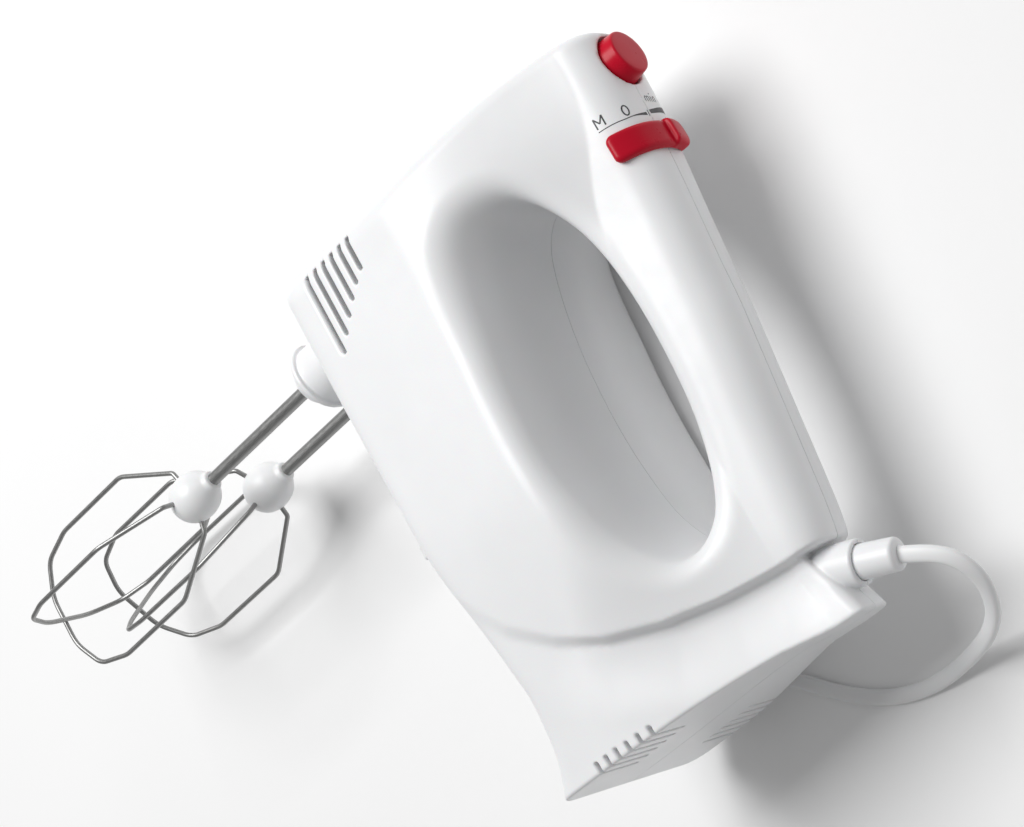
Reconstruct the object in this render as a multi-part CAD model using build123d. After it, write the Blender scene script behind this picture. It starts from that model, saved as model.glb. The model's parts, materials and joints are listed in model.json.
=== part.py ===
from build123d import *
from math import cos, pi, radians, sin, tan
import os

os.makedirs("parts", exist_ok=True)

# A hand mixer with two whisks, in millimetres. It is drawn upright: X forward to the nose, Y to the
# user's left, Z up, with the whisk axes along Z. The finished pieces are then laid on the right side,
# which is how the mixer is stored: the left side faces up and the whisks point along +X.

# Overall
NOSE_X = 12.0
HEEL_X = -170.0
TOP_Z = 120.0
WHISK_TIP_Z = -168.0
HALF_WIDTH = 41.5

# Housing: one row per cross-section, (x, underside z, half width, side top z, shoulder half width,
# shoulder z, crown z), straight from one row to the next
WALL = 2.4
SECTIONS = [
    (NOSE_X + 2, 0, HALF_WIDTH, 44, 15.0, 107, 117.2),
    (-14, 0, HALF_WIDTH, 46, 15.0, 107, 115.6),
    (-40, 0, HALF_WIDTH, 46, 15.5, 90, 113.3),
    (-95, 1, HALF_WIDTH, 46, 15.0, 86, 107.0),
    (-125, 4, 37.5, 38, 14.0, 83, 102.2),
    (-150, 5, 34.0, 22, 12.5, 82, 97.4),
    (HEEL_X, -3.5, 32.5, 16, 8.5, 88, 96.6),
]
BELLY_RADIUS = 6.0
CROWN_RADIUS = 6.5
NOSE_RADIUS = 63.5
SIDE_OUTLINE = [(NOSE_X, -5), (NOSE_X, 62), (8.4, 110), (2, 118), (HEEL_X, 118), (HEEL_X, -5)]
HOLE_OUTLINE = [(-25, 74), (-33, 63.5), (-57, 56.5), (-86, 54), (-112, 56), (-126, 61),
                (-131, 67), (-124, 76), (-105, 83), (-80, 86), (-55, 86), (-36, 82)]
NOTCH_X = (-160.5, -150.5)
NOTCH_FLOOR_Z = 87.0
NOTCH_TOP_Z = 125.0
SLOT_HEIGHT = 1.6
FRONT_SLOTS = [(32.2, -14.7), (28.4, -17.0), (24.5, -19.8), (20.6, -23.0), (16.7, -26.4), (12.8, -30.2)]
FRONT_SLOT_START_X = -1.5
REAR_SLOT_Z = [15.0, 18.9, 22.8, 26.7, 30.6, 34.5]
REAR_SLOT_INNER_Y = 16.0
REAR_SLOT_START_X = -166.3
SCREW_SPOTS = [(6.5, 58), (-17, 82), (-152, 17), (-142, 64)]
SCREW_RADIUS = 1.45
SCREW_HEAD_RADIUS = 3.0
SCREW_REACH = 12.0
BOSS_RADIUS = 4.4

# Drive train
WHISK_X = -18.0
WHISK_HALF_SPACING = 16.5
DRIVE_Z = 26.0
WORM_CREST = 3.95
WORM_ROOT = 2.9
WORM_X = (-28.0, -8.0)
WORM_LEAD = 6.28
WHEEL_TIP = 12.45
WHEEL_TEETH = 25
WHEEL_TOOTH_DEPTH = 1.1
WHEEL_HEIGHT = 8.0
SPINDLE_RADIUS = 5.0
SPINDLE_Z = (-20.0, 43.0)
BUSH_RADIUS = 7.0
RUNNING_GAP = 0.05
MOTOR_SHAFT_RADIUS = 2.5
JOURNAL_RADIUS = 1.9
MOTOR_SHAFT_X = (-128.0, 0.0)
CORE_X = (-93.0, -66.0)
ARMATURE_RADIUS = 12.8
STATOR_BORE = 13.3
STATOR_HALF = (24.0, 20.5)
COMMUTATOR_X = (-115.0, -103.0)
COMMUTATOR_RADIUS = 8.0
FAN_X = (-58.0, -49.0)
FAN_RADIUS = 19.0
BEARING_RADIUS = 6.0

# Whisks
SHAFT_RADIUS = 2.1
SHAFT_TOP_Z = 52.0
HUB_Z = -88.0
HUB_RADIUS = 8.2
WIRE_RADIUS = 0.8
LOOP_OUTLINE = [(5.5, 2.2), (11.4, 3.9), (23.7, 25.4), (24.0, 60.0), (20.0, 72.8), (9.0, 79.2)]
LOOP_RADII = [2.0, 8.0, 12.0, 8.0, 14.0]
INNER_LOOP_LIFT = 1.8
LEFT_PHASE = 2.0
RIGHT_PHASE = 33.0

# Controls
BUTTON_X = -3.5
BUTTON_RADIUS = 8.0
BUTTON_TOP_RADIUS = 7.0
BUTTON_STRAIGHT_Z = 112.0
BUTTON_TOP_Z = TOP_Z
EJECT_PLATE_Z = (52.2, 54.8)
ROD_RADIUS = 3.0
SEAT_X = (-36.5, -20.5)
SEAT_Z = 97.4
SEAT_RADIUS = 16.8
SLIDER_X = (-33.7, -24.9)
SLIDER_OUTER = 19.2
SLIDER_LEFT_END = 60.0
THUMB_OUTER = 20.9
THUMB_START = -3.0
THUMB_CENTRE = -19.0

# Collar under the front
COLLAR_RADIUS = 9.6
COLLAR_LIP_RADIUS = 11.0
COLLAR_LIP_Z = (-20.0, -18.4)
COLLAR_BOTTOM_Z = -26.5

# Cord: a flat twin flex, drawn as a round tube as wide as the flex
CORD_WIDTH = 4.6
TABLE_Y = -HALF_WIDTH
EXIT = Vector(-154.5, 0, 89.5)
SLEEVE_TILT = 20.0
SLEEVE_START = 5.0
SLEEVE_LENGTH = 22.0
SLEEVE_RADII = (5.0, 4.3)
BALL_RADIUS = 6.8
CORD_LIE = TABLE_Y + CORD_WIDTH / 2
COIL_CENTRE = (-57.0, -28.0)
COIL_MEAN_RADIUS = 23.5
COIL_HEIGHT = 9.4
COIL_WALL = 9.0
PLUG_SIZE = (36.0, 34.0, 13.6)
PLUG_NOSE_X = -93.0
PLUG_MID_Y = TABLE_Y + COIL_HEIGHT + PLUG_SIZE[2] / 2
PLUG_MID_Z = -22.5
PLUG_TAIL_LENGTH = 9.5
PIN_RADIUS = 2.0
PIN_LENGTH = 19.0
PIN_SPACING = 18.6


def box(x, y, z):
    """A box between two limits on each axis."""
    return Pos(sum(x) / 2, sum(y) / 2, sum(z) / 2) * Box(x[1] - x[0], y[1] - y[0], z[1] - z[0])


def rod_z(x, y, z, radius):
    """A round bar along Z."""
    return Pos(x, y, sum(z) / 2) * Cylinder(radius, z[1] - z[0])


def rod_x(x, y, z, radius):
    """A round bar along X."""
    return Pos(sum(x) / 2, y, z) * Rot(0, 90, 0) * Cylinder(radius, x[1] - x[0])


def rod_y(x, y, z, radius):
    """A round bar along Y."""
    return Pos(x, sum(y) / 2, z) * Rot(90, 0, 0) * Cylinder(radius, y[1] - y[0])


def both_sides(piece):
    """The piece and its mirror image in the mid plane."""
    return piece + mirror(piece, about=Plane.XZ)


# ---------------------------------------------------------------- housing

def cross_section(row, inset):
    """One closed cross-section of the housing, moved in by the inset."""
    x, under, half, side_top, crown_half, crown_side, crown = row
    under = under + inset
    half = half - inset
    crown_half = crown_half - inset
    crown = crown - inset
    right_side = Line((half, under + BELLY_RADIUS), (half, side_top))
    belly = RadiusArc((half - BELLY_RADIUS, under), right_side @ 0, -BELLY_RADIUS)
    shoulder = Spline(right_side @ 1, (crown_half, crown_side), tangents=[(0, 1), (-0.15, 1)])
    corner = Spline(shoulder @ 1, (0, crown), tangents=[(-0.15, 1), (-1, 0)])
    half_outline = [Line((0, under), belly @ 0), belly, right_side, shoulder, corner]
    other_half = [mirror(edge, about=Plane.YZ) for edge in half_outline]
    face = make_face(Curve() + half_outline + other_half)
    return Plane(origin=(x, 0, 0), x_dir=(0, 1, 0), z_dir=(1, 0, 0)) * face


def side_face(outline, inset=0.0):
    """A face in the mid plane from (x, z) points."""
    face = make_face(Plane.XZ * Polyline(*outline, close=True))
    if inset:
        face = offset(face, -inset)
    return face


def housing_form(inset):
    """The solid that the outside of the housing, or its cavity, fills."""
    rows = [list(row) for row in SECTIONS]
    rows[0][0] -= inset
    rows[-1][0] += inset
    form = loft([cross_section(row, inset) for row in rows], ruled=True)
    nose_centre = NOSE_X - NOSE_RADIUS
    plan = rod_z(nose_centre, 0, (-10, 130), NOSE_RADIUS - inset)
    plan += box((HEEL_X - 10, nose_centre), (-60, 60), (-10, 130))
    side = extrude(side_face(SIDE_OUTLINE, inset), 60, both=True)
    return form & plan & side


def pushed_out(points, distance):
    """The closed outline's points, each moved out square to the chord between its neighbours."""
    moved = []
    for before, here, after in zip(points[-1:] + points[:-1], points, points[1:] + points[:1]):
        along = Vector(after[0] - before[0], after[1] - before[1]).normalized()
        moved.append((here[0] - along.Y * distance, here[1] + along.X * distance))
    return moved


def finger_hole(grow):
    """The closed-loop handle's opening, right through, optionally grown."""
    face = make_face(Plane.XZ * Spline(*pushed_out(HOLE_OUTLINE, grow), periodic=True))
    return extrude(face, 60, both=True)


def notch(grow):
    """The gap behind the handle that the cord leaves through."""
    return box((NOTCH_X[0] - grow, NOTCH_X[1] + grow), (-60, 60), (NOTCH_FLOOR_Z - grow, NOTCH_TOP_Z))


def air_slots():
    """Six slots round each front edge and six round each rear corner."""
    slots = Part()
    half = SLOT_HEIGHT / 2
    for z, end_x in FRONT_SLOTS:
        slots += box((end_x, FRONT_SLOT_START_X), (HALF_WIDTH - 5, HALF_WIDTH + 5), (z - half, z + half))
    for z in REAR_SLOT_Z:
        slots += box((HEEL_X - 5, REAR_SLOT_START_X), (REAR_SLOT_INNER_Y, HALF_WIDTH), (z - half, z + half))
    return both_sides(slots)


def motor_pads():
    """Ribs from each side wall that clamp the stator."""
    pads = Part()
    for x in (CORE_X[0] + 4, CORE_X[1] - 4):
        pads += box((x - 1.5, x + 1.5), (STATOR_HALF[0] + 0.05, HALF_WIDTH - 1), (DRIVE_Z - 9, DRIVE_Z + 9))
    return both_sides(pads)


def slider_seat():
    """The round bridge of the handle top that the speed slider runs on."""
    tube = rod_x(SEAT_X, 0, SEAT_Z, SEAT_RADIUS) - rod_x(SEAT_X, 0, SEAT_Z, SEAT_RADIUS - WALL)
    return tube & box(SEAT_X, (-60, 60), (SEAT_Z, TOP_Z))


def seat_slot():
    """The slot in the seat that the slider's stem moves in."""
    ring = rod_x((-30.5, -26.5), 0, SEAT_Z, SEAT_RADIUS + 1)
    ring -= rod_x((-30.5, -26.5), 0, SEAT_Z, SEAT_RADIUS - WALL - 1)
    return ring & box((-31, -26), (-12.5, 12.5), (SEAT_Z + 5, TOP_Z))


def sleeve_axis(distance):
    """A point on the cord exit's axis."""
    return EXIT + Vector(-sin(radians(SLEEVE_TILT)), 0, cos(radians(SLEEVE_TILT))) * distance


def sleeve_plane():
    """A plane square to the cord exit's axis, at its ball."""
    return Plane(origin=EXIT, z_dir=sleeve_axis(1) - EXIT)


def housing():
    """Both halves as one hollow form, before the split."""
    outer = housing_form(0)
    body = outer - housing_form(WALL)
    body += outer & finger_hole(WALL)
    body += outer & notch(WALL)
    body -= box(SEAT_X, (-60, 60), (SEAT_Z, 130))
    body += slider_seat()
    for x, z in SCREW_SPOTS:
        body += rod_y(x, (-HALF_WIDTH, HALF_WIDTH), z, BOSS_RADIUS) & outer
    body += motor_pads() & outer
    guide = rod_z(BUTTON_X, 0, (98, TOP_Z), BUTTON_RADIUS + 2.2)
    body += guide & outer
    body -= finger_hole(0)
    body -= notch(0)
    body -= air_slots()
    body -= seat_slot()
    body -= rod_z(BUTTON_X, 0, (97, 130), BUTTON_RADIUS + 0.2)
    for side in (-1, 1):
        body -= rod_z(WHISK_X, side * WHISK_HALF_SPACING, (-5, 6), BUSH_RADIUS + 0.3)
    body -= Pos(*EXIT) * Sphere(BALL_RADIUS + 0.5)
    body -= sleeve_plane() * Pos(0, 0, SLEEVE_LENGTH / 2) * Cylinder(SLEEVE_RADII[0] + 0.4, SLEEVE_LENGTH)
    return body


def shells():
    """The housing split on the mid plane, with the screw holes from the right."""
    body = housing()
    left = body & box((-200, 40), (0, 60), (-10, 130))
    right = body & box((-200, 40), (-60, 0), (-10, 130))
    for x, z in SCREW_SPOTS:
        left -= rod_y(x, (-1, SCREW_REACH + 1), z, SCREW_RADIUS)
        right -= rod_y(x, (-60, -5), z, SCREW_HEAD_RADIUS + 0.2)
        right -= rod_y(x, (-10, 1), z, SCREW_RADIUS + 0.15)
    return left, right


def housing_screws():
    """Four pan-head screws put in from the right."""
    screws = []
    for x, z in SCREW_SPOTS:
        screw = rod_y(x, (-5, SCREW_REACH), z, SCREW_RADIUS)
        screw += rod_y(x, (-7.2, -5), z, SCREW_HEAD_RADIUS)
        screw -= box((x - 2, x + 2), (-7.3, -6.2), (z - 0.4, z + 0.4))
        screws.append(screw)
    return Compound(children=screws)


def beater_collar():
    """The oval boss under the front, with its lip and bowl, and two sockets."""
    def oval(z, radius):
        ends = Part()
        for side in (-1, 1):
            ends += rod_z(WHISK_X, side * WHISK_HALF_SPACING, z, radius)
        middle = (-WHISK_HALF_SPACING, WHISK_HALF_SPACING)
        return ends + box((WHISK_X - radius, WHISK_X + radius), middle, z)
    collar = oval((COLLAR_LIP_Z[1], -0.02), COLLAR_RADIUS)
    collar += oval(COLLAR_LIP_Z, COLLAR_LIP_RADIUS)
    steps = 4
    drop = (COLLAR_LIP_Z[0] - COLLAR_BOTTOM_Z) / steps
    for step in range(steps):
        top = COLLAR_LIP_Z[0] - step * drop
        radius = COLLAR_RADIUS * cos(radians(14 * (step + 1)))
        collar += oval((top - drop, top), radius)
    for side in (-1, 1):
        y = side * WHISK_HALF_SPACING
        collar -= rod_z(WHISK_X, y, (SPINDLE_Z[0] - 0.5, 1), SPINDLE_RADIUS + 0.6)
        collar -= rod_z(WHISK_X, y, (COLLAR_BOTTOM_Z - 1, 0), SHAFT_RADIUS + 0.5)
    return collar


# ---------------------------------------------------------------- drive train

def gear_frame():
    """The die-cast frame that holds the spindle bushes and the front of the rotor."""
    def plate(z):
        shape = box((-42, 2), (-10, 10), z)
        for side in (-1, 1):
            shape += rod_z(WHISK_X, side * WHISK_HALF_SPACING, z, 12.5)
        return shape
    frame = plate((33, 37)) + plate((7, 11))
    frame += box((-42, -37), (-10, 10), (7, 37))
    frame += box((-2.5, 2), (-10, 10), (7, 37))
    for side in (-1, 1):
        y = side * WHISK_HALF_SPACING
        frame -= rod_z(WHISK_X, y, (5, 40), BUSH_RADIUS)
    frame -= rod_x((-45, 5), 0, DRIVE_Z, BEARING_RADIUS)
    return frame


def spindle_bush(side):
    """Two flanged bushes, one in each plate of the frame."""
    y = side * WHISK_HALF_SPACING
    bushes = []
    for low, high in ((33, 37), (7, 11)):
        bush = rod_z(WHISK_X, y, (low, high), BUSH_RADIUS - 0.02)
        bush -= rod_z(WHISK_X, y, (low - 1, high + 1), SPINDLE_RADIUS + RUNNING_GAP)
        bushes.append(bush)
    return Compound(children=bushes)


def spindle(side):
    """The hollow spindle that a whisk's shaft pushes up into."""
    y = side * WHISK_HALF_SPACING
    tube = rod_z(WHISK_X, y, SPINDLE_Z, SPINDLE_RADIUS)
    return tube - rod_z(WHISK_X, y, (SPINDLE_Z[0] - 1, SPINDLE_Z[1] + 1), SHAFT_RADIUS + RUNNING_GAP)


def worm_wheel(side):
    """A plastic worm wheel, with slanted gaps between its teeth."""
    centre = Pos(WHISK_X, side * WHISK_HALF_SPACING, DRIVE_Z)
    wheel = Cylinder(WHEEL_TIP, WHEEL_HEIGHT) - Cylinder(SPINDLE_RADIUS + 0.01, WHEEL_HEIGHT + 2)
    for step in range(WHEEL_TEETH):
        gap = Rot(0, 0, step * 360 / WHEEL_TEETH) * Pos(WHEEL_TIP, 0, 0) * Rot(15, 0, 0)
        wheel -= gap * Box(2 * WHEEL_TOOTH_DEPTH, 1.5, 2 * WHEEL_HEIGHT)
    return centre * wheel


def worm():
    """A two-start worm pressed on the motor shaft."""
    length = WORM_X[1] - WORM_X[0]
    core = Cylinder(WORM_ROOT, length) - Cylinder(JOURNAL_RADIUS + 0.01, length + 2)
    turns_length = length - 2.0
    for start in (0, 180):
        path = Helix(WORM_LEAD, turns_length, WORM_ROOT, center=(0, 0, -turns_length / 2))
        depth = WORM_CREST - WORM_ROOT
        frame = Plane(origin=path @ 0, x_dir=(1, 0, 0), z_dir=path % 0)
        ridge = frame * (Pos(depth / 2 - 0.2, 0) * Rectangle(depth + 0.4, 1.1))
        core += Rot(0, 0, start) * sweep(ridge, path=path, is_frenet=True)
    return Pos(sum(WORM_X) / 2, 0, DRIVE_Z) * Rot(0, 90, 0) * core


def motor_shaft():
    """The rotor's steel shaft."""
    shaft = rod_x((MOTOR_SHAFT_X[0], WORM_X[0] - 2), 0, DRIVE_Z, MOTOR_SHAFT_RADIUS)
    return shaft + rod_x((WORM_X[0] - 2, MOTOR_SHAFT_X[1]), 0, DRIVE_Z, JOURNAL_RADIUS)


def shaft_bearing(x, journal):
    """A sintered bush round the motor shaft."""
    bush = rod_x(x, 0, DRIVE_Z, BEARING_RADIUS - 0.02)
    return bush - rod_x((x[0] - 1, x[1] + 1), 0, DRIVE_Z, journal + RUNNING_GAP)


def armature_slots(depth):
    """Ten bars round the armature, as deep as asked."""
    bars = Part()
    length = CORE_X[1] - CORE_X[0]
    for step in range(10):
        bar = Pos(ARMATURE_RADIUS - depth / 2, 0, 0) * Box(depth, 3.0, length + 2)
        bars += Rot(0, 0, step * 36) * bar
    return bars


def along_motor(piece, middle_x):
    """Turns a piece drawn round Z onto the motor's axis."""
    return Pos(middle_x, 0, DRIVE_Z) * Rot(0, 90, 0) * piece


def armature_core():
    """Slotted laminations."""
    length = CORE_X[1] - CORE_X[0]
    core = Cylinder(ARMATURE_RADIUS, length) - Cylinder(MOTOR_SHAFT_RADIUS + 0.01, length + 2)
    core -= armature_slots(5.0) & Cylinder(ARMATURE_RADIUS + 1, length + 2)
    return along_motor(core, sum(CORE_X) / 2)


def armature_winding():
    """The copper in the slots and its two end bundles."""
    length = CORE_X[1] - CORE_X[0]
    winding = Part()
    for step in range(10):
        bar = Pos(ARMATURE_RADIUS - 3.1, 0, 0) * Box(3.6, 2.8, length + 6)
        winding += Rot(0, 0, step * 36) * bar
    for side in (-1, 1):
        bundle = Cylinder(ARMATURE_RADIUS - 1.0, 4.5) - Cylinder(MOTOR_SHAFT_RADIUS + 1.0, 6)
        winding += Pos(0, 0, side * (length / 2 + 2.4)) * bundle
    return along_motor(winding, sum(CORE_X) / 2)


def commutator():
    """Copper bars on a moulded sleeve."""
    length = COMMUTATOR_X[1] - COMMUTATOR_X[0]
    ring = Cylinder(COMMUTATOR_RADIUS, length) - Cylinder(MOTOR_SHAFT_RADIUS + 0.01, length + 2)
    for step in range(20):
        ring -= Rot(0, 0, step * 18) * Pos(COMMUTATOR_RADIUS, 0, 0) * Box(0.8, 0.5, length + 2)
    return along_motor(ring, sum(COMMUTATOR_X) / 2)


def fan():
    """The cooling fan: a disc with ten straight blades."""
    length = FAN_X[1] - FAN_X[0]
    wheel = Pos(0, 0, -length / 2 + 0.75) * Cylinder(FAN_RADIUS, 1.5)
    wheel += Cylinder(5.0, length)
    for step in range(10):
        wheel += Rot(0, 0, step * 36) * Pos((FAN_RADIUS + 4) / 2, 0, 0) * Box(FAN_RADIUS - 5, 1.2, length)
    wheel -= Cylinder(MOTOR_SHAFT_RADIUS + 0.01, length + 2)
    return along_motor(wheel, sum(FAN_X) / 2)


def stator_core():
    """Two-pole laminations with windows for the field coils."""
    y, z = STATOR_HALF
    core = box(CORE_X, (-y, y), (DRIVE_Z - z, DRIVE_Z + z))
    core -= rod_x((CORE_X[0] - 1, CORE_X[1] + 1), 0, DRIVE_Z, STATOR_BORE)
    window = box((CORE_X[0] - 1, CORE_X[1] + 1), (10.5, 18.5), (DRIVE_Z + 8.5, DRIVE_Z + z - 3.5))
    window += mirror(window, about=Plane.XY.offset(DRIVE_Z))
    return core - both_sides(window)


def field_coil(side):
    """One field coil: two bars through the windows and two end bundles."""
    low = DRIVE_Z + side * 9.3
    high = DRIVE_Z + side * (STATOR_HALF[1] - 3.9)
    z = (min(low, high), max(low, high))
    ends = (CORE_X[0] - 5.5, CORE_X[1] + 5.5)
    coil = box(ends, (-18.1, 18.1), z)
    coil -= box((CORE_X[0] - 0.3, CORE_X[1] + 0.3), (-10.9, 10.9), (z[0] - 1, z[1] + 1))
    return coil - rod_x((ends[0] - 1, ends[1] + 1), 0, DRIVE_Z, STATOR_BORE)


def rear_bracket():
    """The moulded bracket behind the motor: rear bearing seat and brush posts."""
    bracket = box((-128, -122), (-22, 22), (DRIVE_Z - 12, DRIVE_Z + 12))
    bracket += both_sides(box((-124, CORE_X[0] - 0.05), (19.0, 23.5), (DRIVE_Z - 5, DRIVE_Z + 5)))
    bracket -= rod_x((-130, -120), 0, DRIVE_Z, BEARING_RADIUS)
    return bracket - both_sides(box((-113.1, -104.9), (8, 30), (DRIVE_Z - 4.1, DRIVE_Z + 4.1)))


def brush_parts():
    """Both brass holders, both carbon brushes and both springs."""
    holder = box((-113, -105), (9.4, 27.5), (DRIVE_Z - 4, DRIVE_Z + 4))
    holder -= box((-112.1, -105.9), (9, 26.7), (DRIVE_Z - 3.1, DRIVE_Z + 3.1))
    brush = box((-112, -106), (COMMUTATOR_RADIUS + 0.05, 18), (DRIVE_Z - 3, DRIVE_Z + 3))
    coil = Part()
    for step in range(5):
        ring = Torus(2.2, 0.45)
        coil += Pos(-109, 18.6 + step * 1.8, DRIVE_Z) * Rot(90, 0, 0) * ring
    pin = rod_y(-109, (18.05, 26.6), DRIVE_Z, 0.5)
    web = box((-109.3, -108.7), (18.1, 26.5), (DRIVE_Z, DRIVE_Z + 2.4))
    spring = coil + pin + web
    pair = []
    for piece in (holder, brush, spring):
        pair.append(Compound(children=[piece, mirror(piece, about=Plane.XZ)]))
    return pair


# ---------------------------------------------------------------- whisks

def whisk_shaft(side):
    """A round steel shaft with its drive flats and a locking groove."""
    y = side * WHISK_HALF_SPACING
    shaft = rod_z(WHISK_X, y, (HUB_Z + 1, SHAFT_TOP_Z), SHAFT_RADIUS)
    groove = rod_z(WHISK_X, y, (45.5, 47.0), SHAFT_RADIUS + 1)
    return shaft - (groove - rod_z(WHISK_X, y, (45, 48), SHAFT_RADIUS - 0.4))


def whisk_hub(side):
    """The moulded hub that holds the wires."""
    y = side * WHISK_HALF_SPACING
    hub = Sphere(HUB_RADIUS) & Pos(0, 0, -0.6) * Cylinder(HUB_RADIUS + 1, 2 * HUB_RADIUS - 1.2)
    hub += Pos(0, 0, HUB_RADIUS - 1.5) * Cone(5.2, 3.4, 3.6)
    return Pos(WHISK_X, y, HUB_Z) * hub - whisk_shaft(side)


def whisk_loop(side, phase, lift):
    """One bent wire: out of the hub, down, across the bottom and back."""
    rising = [(r, -depth + (lift if depth > 70 else 0)) for r, depth in LOOP_OUTLINE]
    outline = rising + [(-r, z) for r, z in reversed(rising)]
    plane = Plane(origin=(0, 0, 0), x_dir=(cos(radians(phase)), sin(radians(phase)), 0),
                  z_dir=(sin(radians(phase)), -cos(radians(phase)), 0))
    radii = LOOP_RADII + LOOP_RADII[::-1]
    path = plane * FilletPolyline(*outline, radius=radii)
    section = Plane(origin=path @ 0, z_dir=path % 0) * Circle(WIRE_RADIUS)
    wire = sweep(section, path=path)
    return Pos(WHISK_X, side * WHISK_HALF_SPACING, HUB_Z) * wire


# ---------------------------------------------------------------- controls

def eject_button():
    """The round button on the nose: straight in its guide, then tapered up to a flat top."""
    base = (Align.CENTER, Align.CENTER, Align.MIN)
    button = rod_z(BUTTON_X, 0, (104, BUTTON_STRAIGHT_Z), BUTTON_RADIUS)
    taper = Cone(BUTTON_RADIUS, BUTTON_TOP_RADIUS, BUTTON_TOP_Z - BUTTON_STRAIGHT_Z, align=base)
    button += Pos(BUTTON_X, 0, BUTTON_STRAIGHT_Z) * taper
    return fillet(button.edges().group_by(Axis.Z)[-1], 0.8)


def eject_rod():
    """The rod from the button down to the plate."""
    return rod_z(BUTTON_X, 0, (EJECT_PLATE_Z[1], 104), ROD_RADIUS)


def eject_plate():
    """The plate that pushes both whisk shafts out of their spindles."""
    reach = WHISK_HALF_SPACING + 4
    middle = box((WHISK_X - 4, BUTTON_X + 4), (-6, 6), EJECT_PLATE_Z)
    return middle + box((WHISK_X - 4, WHISK_X + 4), (-reach, reach), EJECT_PLATE_Z)


def eject_spring():
    """The return spring round the rod, drawn as stacked turns on a thin web."""
    spring = Part()
    for step in range(12):
        spring += Pos(BUTTON_X, 0, 66.5 + step * 2.0) * Torus(4.4, 0.5)
    web = box((BUTTON_X + 4.1, BUTTON_X + 4.7), (-0.3, 0.3), (66.5, 88.5))
    return spring + web


def spring_shelf():
    """The shelf that the return spring stands on."""
    shelf = box((BUTTON_X - 9, BUTTON_X + 9), (-20.5, 20.5), (63.6, 65.9))
    return shelf - rod_z(BUTTON_X, 0, (60, 70), ROD_RADIUS + 0.4)


def rod_collar():
    """The clip ring on the rod that the spring lifts."""
    ring = rod_z(BUTTON_X, 0, (89.2, 90.8), 5.2)
    return ring - rod_z(BUTTON_X, 0, (88, 92), ROD_RADIUS + 0.01)


def slider_arc(outer, right, left):
    """A slice of the slider's ring between two angles from the top."""
    ring = rod_x(SLIDER_X, 0, SEAT_Z, outer) - rod_x(SLIDER_X, 0, SEAT_Z, SEAT_RADIUS + 0.3)
    far = 2 * SLIDER_OUTER
    ends = [(far * sin(radians(angle)), SEAT_Z + far * cos(radians(angle))) for angle in (left, right)]
    corners = [(0, SEAT_Z), ends[0], (ends[0][0], SEAT_Z + far), (ends[1][0], SEAT_Z + far), ends[1]]
    sector = make_face(Plane.YZ.offset(SLIDER_X[0]) * Polyline(*corners, close=True))
    return ring & extrude(sector, SLIDER_X[1] - SLIDER_X[0])


def thumb_end(outer):
    """The slider's round right end, from its underside out to a radius."""
    ring = rod_x(SLIDER_X, 0, SEAT_Z, outer) - rod_x(SLIDER_X, 0, SEAT_Z, SEAT_RADIUS + 0.3)
    half_width = (SLIDER_X[1] - SLIDER_X[0]) / 2
    disc = Pos(0, 0, outer) * Cylinder(half_width - 0.02, outer)
    return ring & Pos(sum(SLIDER_X) / 2, 0, SEAT_Z) * Rot(-THUMB_CENTRE, 0, 0) * disc


def speed_slider():
    """The saddle on the handle top, with its raised thumb pad and its stem."""
    saddle = slider_arc(SLIDER_OUTER, THUMB_CENTRE, SLIDER_LEFT_END) + thumb_end(SLIDER_OUTER)
    pad = slider_arc(THUMB_OUTER, THUMB_CENTRE, THUMB_START) + thumb_end(THUMB_OUTER)
    stem = box((-29.8, -27.2), (-2, 2), (SEAT_Z + 11.5, SEAT_Z + SEAT_RADIUS + 1.3))
    return saddle + pad + stem


def switch_wiper():
    """The contact carrier on the slider's stem."""
    return box((-31, -26), (-4, 4), (SEAT_Z + 9.2, SEAT_Z + 11.5))


def switch_block():
    """The speed switch under the seat: a case with five contacts."""
    block = box((-38, -23), (-8, 8), (88.5, 97.5))
    block += box((-36, -34.5), (-8, 8), (97.5, 104))
    for step in range(5):
        block += box((-31, -26), (-7 + step * 3.2, -5.2 + step * 3.2), (97.5, 98.6))
    return block


def capacitor():
    """The interference capacitor behind the gear frame's top."""
    block = box((-62, -46), (-8, 8), (45.6, 51.0))
    return fillet(block.edges().filter_by(Axis.Z), 1.5)


def wiring():
    """The lead from the clamp, through the handle's rear and top, to the switch."""
    route = [(-145.5, 0, 80), (-143, 0, 91), (-110, 0, 95.5), (-70, 0, 101), (-45, 0, 98), (-38, 0, 93)]
    return tube_along(route, [6, 10, 20, 8], 1.6)


def cord_clamp():
    """The bar that grips the cord inside, held by two screws."""
    bar = box((-149, -142.5), (-9, 9), (76, 79.6)) - rod_x((-150, -141), 0, 79.6, 2.0)
    for y in (-6.5, 6.5):
        bar -= rod_z(-145.7, y, (75, 80), 1.4)
    return bar


def clamp_screws():
    """The clamp bar's two screws."""
    screws = []
    for y in (-6.5, 6.5):
        screw = rod_z(-145.7, y, (70, 79.7), 1.2) + rod_z(-145.7, y, (79.7, 81.2), 2.4)
        screws.append(screw)
    return Compound(children=screws)


def clamp_seat():
    """The moulded block under the clamp bar."""
    seat = box((-149, -142.5), (-9, 9), (69.5, 75.9))
    for y in (-6.5, 6.5):
        seat -= rod_z(-145.7, y, (60, 80), 1.2)
    return seat


# ---------------------------------------------------------------- cord

def tube_along(points, radii, radius):
    """A round tube of straight runs and tangent arcs."""
    path = FilletPolyline(*points, radius=radii)
    return sweep(Plane(origin=path @ 0, z_dir=path % 0) * Circle(radius), path=path)


def largest_radii(points):
    """The arc at each corner: as large as its two runs allow."""
    corners = [Vector(*point) for point in points]
    radii = []
    for before, here, after in zip(corners, corners[1:], corners[2:]):
        turn = (here - before).get_angle(after - here)
        shorter = min((here - before).length, (after - here).length)
        radii.append(0.45 * shorter / tan(radians(turn) / 2))
    return radii


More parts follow.
